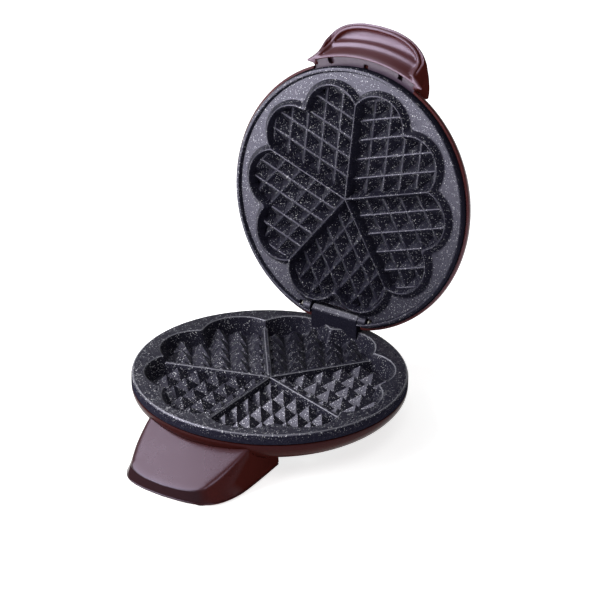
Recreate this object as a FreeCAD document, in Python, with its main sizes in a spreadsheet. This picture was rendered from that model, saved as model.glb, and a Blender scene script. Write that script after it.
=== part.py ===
import FreeCAD, Part
import math
import os

import Sketcher

V = FreeCAD.Vector

# Five-heart waffle maker, lid standing open against its stop.
# Lengths in millimetres.  Sub-parts are drawn about the axis of the round
# plates with the lid shut, heights counted from the table, then placed.

doc = FreeCAD.newDocument("waffle_maker")
sheet = doc.addObject("Spreadsheet::Sheet", "sizes")

TABLE = [
    ("disc_y", -3.35),         # plate axis, from the middle of the whole box
    ("rim_z", 44.3),           # flat rim of the lower plate above the table
    ("open_angle", 99.2),      # lid opening at its stop
    ("hinge_y", 92.45),
    ("hinge_up", 9.6),         # hinge axis above the rim plane
    ("plate_rad", 103.0),
    ("skirt_drop", 8.0),
    ("lobe_pitch_rad", 64.0),  # centres of the ten lobes
    ("lobe_rad", 23.3),
    ("heart_depth", 13.5),
    ("pyramid_height", 8.0),
    ("cell_pitch", 14.25),     # across the rhombic cells
    ("divider_len", 75.0),
    ("lower_divider_drop", 6.0),
    ("plate_back", 17.5),      # underside of the lower casting below the rim
    ("lip_gap", 4.0),          # upper lip above the lower rim when shut
    ("channel_up", 7.0),
    ("crest_up", 2.0),
    ("ridge_up", 7.6),
    ("pit_depth", 7.4),
    ("upper_back", 18.6),
    ("lid_rad", 103.0),
    ("lid_edge_up", 9.0),
    ("dome_up", 34.0),
    ("lid_flat_y", 99.3),      # flat at the back of the lid
    ("shell_wall", 2.0),
    ("base_floor_drop", 33.0),
    ("knuckle_half", 20.4),
    ("pin_rad", 2.0),
    ("pin_half", 31.0),
    ("pin_clear", 0.05),
    ("element_tube", 3.3),
    ("lower_element_rad", 50.0),
    ("upper_element_rad", 50.0),
    ("grip_half", 47.0),
    ("grip_tip_half", 39.0),
    ("grip_front", 140.0),
    ("lid_grip_front", 131.0),
    ("screw_ring", 64.0),
    ("screw_shank", 1.25),
    ("screw_head", 3.4),
    ("foot_x", 42.0),
    ("foot_y", 74.0),
    ("inlet_bore", 3.6),
    ("inlet_drop", 19.5),
    ("lamp_rad", 4.0),
    ("lamp_x", 12.0),
    ("lamp_y", 80.0),
]

val = {}
for row, (name, number) in enumerate(TABLE, start=1):
    sheet.set("A%d" % row, name)
    sheet.set("B%d" % row, str(number))
    sheet.setAlias("B%d" % row, name)
    val[name] = number
doc.recompute()


class Dim:
    """A length with its value and the sheet expression that gives it."""

    def __init__(self, number, text):
        self.number = number
        self.text = text

    @staticmethod
    def of(other):
        return other if isinstance(other, Dim) else Dim(float(other), "%.6g" % other)

    def __add__(self, other):
        other = Dim.of(other)
        return Dim(self.number + other.number, "(%s + %s)" % (self.text, other.text))

    def __sub__(self, other):
        other = Dim.of(other)
        return Dim(self.number - other.number, "(%s - (%s))" % (self.text, other.text))

    def __mul__(self, other):
        other = Dim.of(other)
        return Dim(self.number * other.number, "(%s * %s)" % (self.text, other.text))

    def __neg__(self):
        return Dim(-self.number, "(0 - %s)" % self.text)

    __radd__ = __add__


def d(name):
    return Dim(val[name], "sizes." + name)


RIM = d("rim_z")
PARTS = []


def num(x):
    return x.number if isinstance(x, Dim) else float(x)


def bind(obj, prop, x):
    if isinstance(x, Dim):
        obj.setExpression(prop, x.text)
    else:
        setattr(obj, prop, x)


def draw(sketch, points):
    """Closed polygon whose corners are tied to the sheet."""
    n = len(points)
    xy = [(num(a), num(b)) for a, b in points]
    for i in range(n):
        a, b = xy[i], xy[(i + 1) % n]
        sketch.addGeometry(Part.LineSegment(V(a[0], a[1], 0), V(b[0], b[1], 0)), False)
    for i in range(n):
        sketch.addConstraint(Sketcher.Constraint("Coincident", i, 2, (i + 1) % n, 1))
    for i, (a, b) in enumerate(points):
        for kind, axis, x in (("DistanceX", -2, a), ("DistanceY", -1, b)):
            if abs(num(x)) < 1e-9:
                sketch.addConstraint(Sketcher.Constraint("PointOnObject", i, 1, axis))
            else:
                c = sketch.addConstraint(Sketcher.Constraint(kind, i, 1, num(x)))
                if isinstance(x, Dim):
                    sketch.setExpression("Constraints[%d]" % c, x.text)


def origin_plane(body, role):
    for feature in body.Origin.OriginFeatures:
        if feature.Role == role:
            return feature


def add_sketch(body, plane, points):
    sketch = body.newObject("Sketcher::SketchObject", "Profile")
    sketch.AttachmentSupport = [(origin_plane(body, plane), "")]
    sketch.MapMode = "FlatFace"
    draw(sketch, points)
    return sketch


def new_body(label):
    body = doc.addObject("PartDesign::Body", label)
    body.Label = label
    return body


def turn(body, points, cut=False):
    sketch = add_sketch(body, "XZ_Plane", points)
    feature = body.newObject("PartDesign::Groove" if cut else "PartDesign::Revolution", "Turn")
    feature.Profile = sketch
    feature.ReferenceAxis = (sketch, ["V_Axis"])
    feature.Angle = 360.0
    doc.recompute()
    return feature


def both_sides(feature):
    if "SideType" in feature.PropertiesList:
        feature.SideType = "Symmetric"
    else:
        feature.Midplane = True


def slab(body, plane, points, width, cut=False):
    """Pad or pocket of a profile, equally to both sides of its plane."""
    sketch = add_sketch(body, plane, points)
    feature = body.newObject("PartDesign::Pocket" if cut else "PartDesign::Pad", "Slab")
    feature.Profile = sketch
    feature.Type = "Length"
    both_sides(feature)
    bind(feature, "Length", width)
    doc.recompute()
    return feature


def cylinder(name, radius, height, base, axis=V(0, 0, 1)):
    obj = doc.addObject("Part::Cylinder", name)
    bind(obj, "Radius", radius)
    bind(obj, "Height", height)
    obj.Placement = FreeCAD.Placement(base, FreeCAD.Rotation(V(0, 0, 1), axis))
    return obj


def block(name, low, high):
    obj = doc.addObject("Part::Box", name)
    obj.Length, obj.Width, obj.Height = (high - low).x, (high - low).y, (high - low).z
    obj.Placement.Base = low
    return obj


def cut(name, base, tool):
    obj = doc.addObject("Part::Cut", name)
    obj.Base, obj.Tool = base, tool
    doc.recompute()
    return obj


def fuse(name, one, two):
    obj = doc.addObject("Part::Fuse", name)
    obj.Base, obj.Tool = one, two
    doc.recompute()
    return obj


def solid(name, shape):
    obj = doc.addObject("Part::Feature", name)
    obj.Shape = shape
    return obj


AT_REST = FreeCAD.Placement(V(0, val["disc_y"], 0), FreeCAD.Rotation())
HINGE = V(0, val["hinge_y"], val["rim_z"] + val["hinge_up"])
OPENED = AT_REST * FreeCAD.Placement(
    V(0, 0, 0), FreeCAD.Rotation(V(1, 0, 0), -val["open_angle"]), HINGE
)


def keep(obj, label, lid=False):
    obj.Label = label
    obj.Placement = (OPENED if lid else AT_REST) * obj.Placement
    PARTS.append(obj)
    return obj


# ---------------------------------------------------------------- waffle grid

LOBES = [math.radians(18 + 36 * k) for k in range(10)]
DIVIDERS = [math.radians(36 + 72 * k) for k in range(5)]  # from the hinge side


def polar(radius, angle, z):
    return V(radius * math.sin(angle), radius * math.cos(angle), z)


def flower(z_low, z_high, grow_low, grow_high, core):
    """Ten drafted lobes round a core: the outline of the five hearts."""
    tall = z_high - z_low
    whole = Part.makeCylinder(core, tall, V(0, 0, z_low))
    for a in LOBES:
        lobe = Part.makeCone(
            val["lobe_rad"] + grow_low, val["lobe_rad"] + grow_high, tall, V(0, 0, 0), V(0, 0, 1)
        )
        # the seam of each lobe faces the middle, where it is swallowed
        lobe.rotate(V(0, 0, 0), V(0, 0, 1), 270 - math.degrees(a))
        lobe.translate(polar(val["lobe_pitch_rad"], a, z_low))
        whole = whole.fuse(lobe)
    return whole.removeSplitter()


def divider(angle, z_foot, z_top, half_foot, half_top):
    along = V(math.sin(angle), math.cos(angle), 0)
    side = V(math.cos(angle), -math.sin(angle), 0)
    corner = [
        side * -half_foot + V(0, 0, z_foot),
        side * half_foot + V(0, 0, z_foot),
        side * half_top + V(0, 0, z_top),
        side * -half_top + V(0, 0, z_top),
    ]
    face = Part.Face(Part.makePolygon(corner + corner[:1]))
    return face.extrude(along * val["divider_len"])


CELLS = [(i, j) for i in range(5) for j in range(5) if i + j <= 5]


def pyramids(z_foot, z_tip, share, cells=CELLS):
    """Rhombic pyramids, their edges parallel to the two sides of each heart."""
    step = val["cell_pitch"] / math.sin(math.radians(72))
    out = []
    for k in range(5):
        axis = math.radians(72 * k)
        one = V(math.sin(axis - math.radians(36)), math.cos(axis - math.radians(36)), 0)
        two = V(math.sin(axis + math.radians(36)), math.cos(axis + math.radians(36)), 0)
        for i, j in cells:
            mid = one * ((i + 0.5) * step) + two * ((j + 0.5) * step)
            h = 0.5 * step * share
            ring = [
                mid + one * (h * a) + two * (h * b) + V(0, 0, z_foot)
                for a, b in ((-1, -1), (1, -1), (1, 1), (-1, 1))
            ]
            tip = mid + V(0, 0, z_tip)
            faces = [Part.Face(Part.makePolygon(ring + ring[:1]))]
            for q in range(4):
                a, b = ring[q], ring[(q + 1) % 4]
                faces.append(Part.Face(Part.makePolygon([a, b, tip, a])))
            lump = Part.Solid(Part.Shell(faces))
            if lump.Volume < 0:
                lump.reverse()
            out.append(lump)
    return out


def revolved(points):
    wire = Part.makePolygon([V(r, 0, z) for r, z in points] + [V(points[0][0], 0, points[0][1])])
    return Part.Face(wire).revolve(V(0, 0, 0), V(0, 0, 1), 360)


# ---------------------------------------------------------------- base

rim = val["rim_z"]
R = val["plate_rad"]
hy, hz = val["hinge_y"], rim + val["hinge_up"]
back = rim - val["plate_back"]
skirt = rim - val["skirt_drop"]

# cast lower plate: rim, skirt, heart recesses, dividers, pyramids, knuckle
plate = revolved(
    [
        (0, rim), (R - 2.4, rim), (R - 0.7, rim - 0.7), (R, rim - 2.4), (R, skirt),
        (R - 3.4, skirt), (R - 3.4, rim - 5), (R - 9.5, rim - 5), (R - 10, rim - 9), (R - 12, rim - 14),
        (R - 12, back), (0, back),
    ]
)
floor = rim - val["heart_depth"]
plate = plate.cut(flower(floor, rim + 0.01, 1.2, 6.0, 61.0))
plate = plate.fuse(
    [divider(a, floor - 0.5, rim - val["lower_divider_drop"], 3.6, 1.1) for a in DIVIDERS]
    + pyramids(floor - 0.01, floor + val["pyramid_height"], 0.95, CELLS + [(4, 2), (2, 4)])
)
half = val["knuckle_half"]
profile = [
    V(-half, 87.7, rim - 4.9), V(-half, 96.8, rim - 4.9), V(-half, 96.8, rim + 11.6),
    V(-half, 95.2, rim + 13.3), V(-half, 89.6, rim + 13.3), V(-half, 87.7, rim + 11.4),
]
knuckle = Part.Face(Part.makePolygon(profile + profile[:1])).extrude(V(2 * half, 0, 0))
plate = plate.fuse(knuckle)
posts = [math.radians(a) for a in (60, 120, 240, 300)]
for a in posts:
    plate = plate.fuse(
        Part.makeCylinder(4.5, 13.4, polar(val["screw_ring"], a, back - 13.3))
    )
for a in posts:
    plate = plate.cut(
        Part.makeCylinder(val["screw_shank"] + 0.05, 9.0, polar(val["screw_ring"], a, back - 13.4))
    )
pin_hole = Part.makeCylinder(
    val["pin_rad"] + val["pin_clear"], 120, V(-60, hy, hz), V(1, 0, 0)
)
plate = plate.cut(pin_hole).removeSplitter()
for a in LOBES:
    assert not plate.isInside(polar(82, a, rim - 2), 0.01, True), "a lobe is missing"
keep(solid("lower_plate", plate), "lower_plate")

# round brown bowl under the lower plate
bowl = [
    (103.0, -8.6), (103.0, -10.0), (102.0, -13.5), (99.5, -17.5), (95.0, -21.5),
    (88.0, -26.0), (79.0, -30.0), (70.0, -33.0),
]


def bowl_line(grow):
    pts = []
    for r, z in bowl:
        pts.append((d("plate_rad") + (r - 103.0 + grow), RIM + (z - 0.6 * grow)))
    return pts


wall = val["shell_wall"]
shell_body = new_body("base_bowl_turned")
inner = [
    (58.0, -33.0), (58.0, -31.0), (69.6, -31.0), (78.2, -28.1), (86.9, -24.2),
    (93.6, -19.9), (97.7, -16.3), (99.9, -13.0), (100.6, -10.0), (100.6, -8.6),
]
turn(
    shell_body,
    bowl_line(0.0) + [(d("plate_rad") + (r - 103.0), RIM + z) for r, z in inner],
)
inlet_z = rim - val["inlet_drop"]
holes = cylinder("inlet_hole", d("inlet_bore") + 2.5, 40, V(0, 75, inlet_z), V(0, 1, 0))
shell = cut("base_shell_bored", shell_body, holes)
for k, a in enumerate(posts):
    through = cylinder(
        "shell_screw_hole%d" % k, d("screw_shank") + 0.5, 12, polar(val["screw_ring"], a, rim - 38)
    )
    shell = cut("base_shell_drilled%d" % k, shell, through)
keep(shell, "base_shell")

cover_body = new_body("bottom_cover_disc")
turn(
    cover_body,
    [
        (0, RIM - 33.2), (d("screw_ring") + 4.2, RIM - 33.2), (d("screw_ring") + 4.2, RIM - 35.0),
        (d("screw_ring") - 10, RIM - 35.0), (d("screw_ring") - 12, RIM - 34.6), (0, RIM - 34.6),
    ],
)
cover = cover_body
for k, a in enumerate(posts):
    through = cylinder(
        "cover_screw_hole%d" % k, d("screw_shank") + 0.5, 12, polar(val["screw_ring"], a, rim - 42)
    )
    cover = cut("bottom_cover_drilled%d" % k, cover, through)
keep(cover, "bottom_cover")


def screw(head_z, top_z):
    head = Part.makeCylinder(val["screw_head"], 1.9, V(0, 0, head_z - 1.9))
    shank = Part.makeCylinder(val["screw_shank"], top_z - head_z, V(0, 0, head_z))
    drive = Part.makeBox(4.2, 0.8, 0.9, V(-2.1, -0.4, head_z - 1.91))
    cross = Part.makeBox(0.8, 4.2, 0.9, V(-0.4, -2.1, head_z - 1.91))
    return head.fuse(shank).cut(drive.fuse(cross)).removeSplitter()


def group(name, shape, spots):
    copies = []
    for spot in spots:
        one = shape.copy()
        one.translate(spot)
        copies.append(one)
    return solid(name, Part.makeCompound(copies))


keep(
    group(
        "base_screws",
        screw(rim - 35.05, back - 5.5),
        [polar(val["screw_ring"], a, 0) for a in posts],
    ),
    "base_screws",
)

# front grip that is also the front foot: a tray with a sloping cover on it
grip = d("grip_front")


def grip_cut(body):
    """Taper of the two sides, and the seat of the bowl."""
    for s in (1, -1):
        slab(
            body,
            "XY_Plane",
            [
                (d("grip_half") * s, -80.0),
                (d("grip_half") * (1.4 * s), -80.0),
                (d("grip_half") * (1.4 * s), -grip - 10),
                (d("grip_tip_half") * s, -grip - 10),
                (d("grip_tip_half") * s, -grip),
            ],
            200.0,
            cut=True,
        )
    turn(
        body,
        [(0, RIM + 5), (d("plate_rad") + 0.4, RIM + 5)]
        + bowl_line(0.4)
        + [(d("screw_ring") + 6, RIM - 37.6), (0, RIM - 37.6)],
        cut=True,
    )


tray = new_body("base_grip_tray")
slab(
    tray,
    "YZ_Plane",
    [
        (-45.0, RIM - 39.2), (-45.0, RIM - 20.0), (-86.0, RIM - 14.2), (-94.0, RIM - 15.2),
        (-grip + 1.6, RIM - 36.6), (-grip, RIM - 38.2), (-grip, RIM - 42.6), (-grip + 1, RIM - 43.4),
        (-104.0, RIM - 43.4),
    ],
    d("grip_half") * 2,
)
grip_cut(tray)
before = tray.Shape.Volume
slab(
    tray,
    "YZ_Plane",
    [
        (-60.0, RIM - 38.2), (-60.0, RIM - 5.0), (-94.0, RIM - 5.0), (-grip + 4.5, RIM - 30.0),
        (-grip + 4.5, RIM - 41.0), (-104.0, RIM - 41.0),
    ],
    d("grip_tip_half") * 2 - 5.0,
    cut=True,
)
assert tray.Shape.Volume < before
keep(tray, "base_grip_tray")

lid_of_tray = new_body("base_grip_cover")
slab(
    lid_of_tray,
    "YZ_Plane",
    [
        (-84.0, RIM - 10.0), (-92.0, RIM - 11.0), (-grip + 3.2, RIM - 32.6), (-grip + 0.6, RIM - 34.6),
        (-grip + 0.4, RIM - 37.4), (-grip + 1.4, RIM - 36.3), (-94.0, RIM - 15.0), (-86.0, RIM - 14.0), (-84.0, RIM - 14.2),
    ],
    d("grip_half") * 2,
)
grip_cut(lid_of_tray)
keep(lid_of_tray, "base_grip_cover")

pad = Part.makeCylinder(6.0, 0.85, V(0, 0, 0))
keep(
    group("front_pads", pad, [V(-27, -128, 0), V(27, -128, 0)]),
    "front_pads",
)

# two rubber feet under the back of the bowl
bowl_solid = revolved(
    [(0, rim), (103.2, rim)] + [(num(r), num(z)) for r, z in bowl_line(0.2)] + [(0, rim - 33.1)]
)
foot = Part.makeCone(8.5, 10.5, 26.0, V(0, 0, 0))
feet = [
    foot.translated(V(s * val["foot_x"], val["foot_y"], 0)).cut(bowl_solid) for s in (-1, 1)
]
keep(solid("rear_feet", Part.makeCompound(feet)), "rear_feet")

# bush of the lead inlet, through the back wall of the bowl
bush = new_body("inlet_bush_turned")
turn(
    bush,
    [
        (d("inlet_bore"), 92.4), (d("inlet_bore") + 2.2, 92.4), (d("inlet_bore") + 2.2, 103.0),
        (d("inlet_bore") + 1.6, 103.6), (d("inlet_bore"), 103.6),
    ],
)
bush.Placement = FreeCAD.Placement(V(0, 0, inlet_z), FreeCAD.Rotation(V(0, 0, 1), V(0, 1, 0)))
keep(bush, "lead_inlet_bush")

# heating and control pieces in the base
ring = doc.addObject("Part::Torus", "lower_element_ring")
bind(ring, "Radius1", d("lower_element_rad"))
bind(ring, "Radius2", d("element_tube"))
ring.Placement.Base = V(0, 0, back - val["element_tube"] - 0.3)
keep(ring, "lower_heating_element")

dish = new_body("lower_reflector")
turn(
    dish,
    [
        (0, RIM - 25.6), (d("lower_element_rad") + 6, RIM - 25.6), (d("lower_element_rad") + 8, RIM - 22.6),
        (d("lower_element_rad") + 8.6, RIM - 22.6), (d("lower_element_rad") + 6.6, RIM - 26.2), (0, RIM - 26.2),
    ],
)
keep(dish, "lower_reflector")
keep(cylinder("lower_stat", 9.0, 6.0, V(0, 0, back - 6.3)), "lower_thermostat")
keep(cylinder("fuse_tube", 2.2, 16.0, V(-8, 24, back - 3.6), V(1, 0, 0)), "thermal_fuse")
keep(block("terminals", V(-11, 60, rim - 30.4), V(11, 69, rim - 18.2)), "terminal_block")
leads = [
    Part.makeCylinder(1.2, 6.0, V(x, 69.2, inlet_z), V(0, 1, 0)) for x in (-1.7, 1.7)
]
keep(solid("supply_leads", Part.makeCompound(leads)), "supply_leads")

# hinge pin with a retaining ring at each end
keep(
    cylinder("pin", d("pin_rad"), d("pin_half") * 2, V(-val["pin_half"], hy, hz), V(1, 0, 0)),
    "hinge_pin",
)
ringlet = Part.makeCylinder(3.6, 0.8, V(0, 0, 0), V(1, 0, 0)).cut(
    Part.makeCylinder(val["pin_rad"] + 0.02, 0.8, V(0, 0, 0), V(1, 0, 0))
)
keep(
    group("hinge_retaining_rings", ringlet, [V(-30.2, hy, hz), V(29.4, hy, hz)]),
    "hinge_retaining_rings",
)

# ---------------------------------------------------------------- lid

up = rim
lip = up + val["lip_gap"]
chan = up + val["channel_up"]
crest = up + val["crest_up"]
ridge = up + val["ridge_up"]
uback = up + val["upper_back"]

# cast upper plate: outer lip, channel, heart crests, pits, hinge ears
upper = revolved(
    [
        (0, chan), (96.6, chan), (97.6, lip), (99.4, lip), (100.0, lip + 0.6), (100.4, up + 8),
        (100.4, up + 11), (90.5, up + 11), (89.5, uback), (0, uback),
    ]
)
upper = upper.fuse(flower(crest, chan + 0.5, 0.4, 4.0, 61.0))
hollow = flower(crest - 0.01, ridge, -0.7, -3.2, 61.0)
hollow = hollow.cut(
    Part.makeCompound([divider(a, ridge + 0.01, crest, 3.2, 0.6) for a in DIVIDERS])
)
upper = upper.cut(hollow)
inside = flower(ridge - 0.5, uback, -4.3, -4.6, 60.4)
for a in DIVIDERS:
    inside = inside.cut(divider(a, ridge - 1, uback + 1, 3.5, 3.5))
upper = upper.removeSplitter()
for p in pyramids(ridge - 0.2, ridge + val["pit_depth"], 0.86):
    pit = p.common(inside)
    if pit.Volume > 1:
        upper = upper.cut(pit)
ears = [
    Part.makeCylinder(5.6, 7.0, V(x, hy, hz), V(1, 0, 0)) for x in (-28.2, 21.2)
]
upper = upper.fuse(ears)
notch = Part.makeBox(42.4, 40, 40, V(-21.2, 86.0, up - 10))
upper = upper.cut(notch)
behind = Part.makeBox(120, 40, 30 + val["hinge_up"], V(-60, hy, up - 30)).cut(
    Part.makeCylinder(8.9, 130, V(-65, hy, hz), V(1, 0, 0))
)
upper = upper.cut(behind)
upper = upper.cut(Part.makeBox(120, 20, 60, V(-60, val["lid_flat_y"] - 3.6, up - 20)))
upper = upper.cut(pin_hole)
# room for the rings on the ends of the pin
upper = upper.cut(
    [Part.makeCylinder(4.4, 4.4, V(x, hy, hz), V(1, 0, 0)) for x in (-32.6, 28.2)]
)
lid_posts = [math.radians(a) for a in (54, 126, 234, 306)]
for a in lid_posts:
    upper = upper.cut(
        Part.makeCylinder(val["screw_shank"] + 0.05, 5.0, polar(95.0, a, up + 8.2))
    )
upper = upper.removeSplitter()
for a in LOBES:
    assert not upper.isInside(polar(82, a, crest + 2), 0.01, True), "a lobe is missing"
    assert upper.isInside(polar(76, a, uback - 1), 0.01, True), "a pit goes through"
keep(solid("upper_plate", upper), "upper_plate", lid=True)

# domed lid, flat at the back so that it clears the lower rim when opened
dome = [
    (103.0, 9.0), (103.0, 12.0), (102.0, 17.0), (98.5, 22.5), (91.0, 27.5), (76.0, 31.5), (50.0, 33.5),
]


def dome_line(shrink):
    return [
        (d("lid_rad") + (r - 103.0 - shrink), d("dome_up") + RIM + (z - 34.0 - (0 if i == 0 else 0.9 * shrink)))
        for i, (r, z) in enumerate(dome)
    ]


def dome_solid(name, shrink, low, flat_y):
    body = new_body(name)
    turn(
        body,
        [(0, low)]
        + [(dome_line(shrink)[0][0], low)]
        + dome_line(shrink)[1:]
        + [(0, RIM + d("dome_up") - 0.9 * shrink)],
    )
    rear = block(name + "_rear", V(-80, flat_y, rim - 20), V(80, flat_y + 40, rim + 80))
    return cut(name + "_flat", body, rear)


outer = dome_solid("lid_outer", 0.0, RIM + d("lid_edge_up"), val["lid_flat_y"])
core = dome_solid("lid_core", wall, RIM + d("lid_edge_up") - 1, val["lid_flat_y"] - wall)
lid_shell = cut("lid_hollowed", outer, core)
slot = block("lid_slot", V(-21.6, 90, rim - 5), V(21.6, 110, rim + 20.5))
lid_shell = cut("lid_slotted", lid_shell, slot)
window = block("lid_panel_gap", V(-43.9, -112, rim + 5), V(43.9, -84, rim + 13.3))
lid_shell = cut("lid_gapped", lid_shell, window)
for k, s in enumerate((-1, 1)):
    opening = cylinder(
        "lamp_hole%d" % k, d("lamp_rad") + 0.1, 30, V(s * val["lamp_x"], -val["lamp_y"], rim + 20)
    )
    lid_shell = cut("lid_lamped%d" % k, lid_shell, opening)
keep(lid_shell, "lid_shell", lid=True)

# grip on the lid: a ridge and a finger scoop, both concentric with the plates
lid_grip = new_body("lid_grip_block")
tip = d("lid_grip_front")
wide = d("grip_half")
half_plan = [
    (wide + 1.0, -tip + 46.5), (wide + 1.5, -tip + 34.0), (wide - 3.0, -tip + 26.5), (wide - 5.5, -tip + 20.0),
    (wide - 10.0, -tip + 12.5), (wide - 22.0, -tip + 4.4), (wide - 34.0, -tip),
]
plan = add_sketch(
    lid_grip, "XY_Plane", half_plan + [(-x, y) for x, y in reversed(half_plan)]
)
blank = lid_grip.newObject("PartDesign::Pad", "Blank")
blank.Profile = plan
bind(blank, "Length", RIM + 31.5)
doc.recompute()
turn(
    lid_grip,
    [
        (0, -1.0), (tip + 30, -1.0), (tip + 30, RIM + 23.4), (tip - 0.8, RIM + 23.4), (tip - 2.6, RIM + 22.8),
        (tip - 5.0, RIM + 25.0), (tip - 9.0, RIM + 26.2), (tip - 12.5, RIM + 25.6), (tip - 14.2, RIM + 22.4),
        (tip - 16.0, RIM + 20.6), (tip - 18.2, RIM + 19.0), (tip - 21.6, RIM + 10.0), (tip - 23.6, RIM + 9.5),
        (tip - 24.2, RIM + 15.0), (0, RIM + 15.0),
    ],
    cut=True,
)
turn(
    lid_grip,
    [
        (0, RIM + 40), (0, RIM + 32.5), (tip - 50, RIM + 31.4), (tip - 18, RIM + 31.0), (tip - 7, RIM + 30.6),
        (tip - 2.0, RIM + 30.0), (tip + 1, RIM + 28.4), (tip + 30, RIM + 28.4), (tip + 30, RIM + 40),
    ],
    cut=True,
)
turn(
    lid_grip,
    [(0, RIM)]
    + [(dome_line(-0.3)[0][0], RIM)]
    + dome_line(-0.3)[1:]
    + [(0, RIM + d("dome_up") + 1)],
    cut=True,
)
keep(lid_grip, "lid_grip", lid=True)

# flat panel that closes the underside of the grip beside the plate
panel = new_body("grip_panel_plate")
slab(
    panel,
    "XY_Plane",
    [
        (-wide + 3.5, -88.0), (wide - 3.5, -88.0), (wide - 3.5, -97.0), (wide - 12.0, -100.6),
        (wide - 25.0, -104.0), (wide - 40.0, -106.0), (-wide + 40.0, -106.0), (-wide + 25.0, -104.0),
        (-wide + 12.0, -100.6), (-wide + 3.5, -97.0),
    ],
    (RIM + 13.0) * 2,
)
turn(
    panel,
    [(0, RIM + 20), (0, -70.0), (170, -70.0), (170, RIM + 11.3), (d("lid_rad") - 4.0, RIM + 11.3), (d("lid_rad") - 4.0, RIM + 20)],
    cut=True,
)
bore = cylinder("panel_hole", 2.4, 10, V(-30.6, -98.2, rim + 8))
panel_one = cut("panel_bored", panel, bore)
square = block("panel_window", V(28.4, -100.2, rim + 8), V(32.4, -96.6, rim + 20))
panel_two = cut("panel_windowed", panel_one, square)
nick = block("panel_nick", V(-2.0, -103.4, rim + 8), V(2.0, -96, rim + 20))
keep(cut("panel_nicked", panel_two, nick), "lid_grip_panel", lid=True)

# heating and signal pieces in the lid
ring = doc.addObject("Part::Torus", "upper_element_ring")
bind(ring, "Radius1", d("upper_element_rad"))
bind(ring, "Radius2", d("element_tube"))
ring.Placement.Base = V(0, 0, uback + val["element_tube"] + 0.3)
keep(ring, "upper_heating_element", lid=True)
keep(cylinder("upper_stat", 9.0, 6.0, V(0, 20, uback + 0.3)), "upper_thermostat", lid=True)
sheet_disc = new_body("upper_reflector")
turn(
    sheet_disc,
    [
        (0, RIM + 26.4), (d("upper_element_rad") + 8, RIM + 26.4), (d("upper_element_rad") + 10, RIM + 23.4),
        (d("upper_element_rad") + 10.6, RIM + 23.4), (d("upper_element_rad") + 8.6, RIM + 27.0), (0, RIM + 27.0),
    ],
)
keep(sheet_disc, "upper_reflector", lid=True)

frame_ring = new_body("lid_mount_ring_blank")
turn(
    frame_ring,
    [
        (91.2, RIM + 11.2), (98.8, RIM + 11.2), (98.8, RIM + 16.5), (97.8, RIM + 16.5),
        (97.8, RIM + 12.4), (91.2, RIM + 12.4),
    ],
)
gap = block("ring_gap", V(-40, 60, rim), V(40, 130, rim + 40))
mount_ring = cut("lid_mount_ring_open", frame_ring, gap)
for k, a in enumerate(lid_posts):
    through = cylinder("ring_hole%d" % k, d("screw_shank") + 0.3, 12, polar(95.0, a, rim + 5))
    mount_ring = cut("lid_mount_ring_drilled%d" % k, mount_ring, through)
keep(mount_ring, "lid_mount_ring", lid=True)


def screw_down(head_z, low_z):
    head = Part.makeCylinder(2.6, 1.8, V(0, 0, head_z))
    shank = Part.makeCylinder(val["screw_shank"], head_z - low_z, V(0, 0, low_z))
    drive = Part.makeBox(3.6, 0.7, 0.9, V(-1.8, -0.35, head_z + 0.92))
    cross = Part.makeBox(0.7, 3.6, 0.9, V(-0.35, -1.8, head_z + 0.92))
    return head.fuse(shank).cut(drive.fuse(cross)).removeSplitter()


keep(
    group(
        "upper_plate_screws",
        screw_down(rim + 12.5, rim + 8.4),
        [polar(95.0, a, 0) for a in lid_posts],
    ),
    "upper_plate_screws",
    lid=True,
)

lens = Part.makeCylinder(val["lamp_rad"], 5.6, V(0, 0, rim + 26.2))
lens = lens.makeFillet(1.2, [e for e in lens.Edges if e.BoundBox.ZMin > rim + 31])
keep(
    group("signal_lenses", lens, [V(s * val["lamp_x"], -val["lamp_y"], 0) for s in (-1, 1)]),
    "signal_lenses",
    lid=True,
)
keep(
    block("lamp_strip", V(-20, -86, rim + 23.6), V(20, -74, rim + 25.2)),
    "lamp_board",
    lid=True,
)

doc.recompute()

# ---------------------------------------------------------------- checks and files

for obj in doc.Objects:
    for word in obj.State:
        if word in ("Invalid", "Error"):
            raise RuntimeError("%s failed: %s" % (obj.Name, obj.State))

os.makedirs("parts", exist_ok=True)
box = FreeCAD.BoundBox()
for obj in PARTS:
    shape = obj.Shape
    if shape.isNull() or not shape.isValid():
        raise RuntimeError("bad shape in " + obj.Label)
    if not shape.Solids or min(s.Volume for s in shape.Solids) <= 0:
        raise RuntimeError("no solid in " + obj.Label)
    box.add(shape.BoundBox)
for obj in PARTS:
    obj.Shape.exportStep("parts/%s.step" % obj.Label)
    print("%-24s solids %2d  volume %9.1f" % (obj.Label, len(obj.Shape.Solids), obj.Shape.Volume))
print("box", box)
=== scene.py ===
import math
import random
import bpy
import bmesh
from mathutils import Vector, Matrix
from mathutils.geometry import delaunay_2d_cdt


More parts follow.
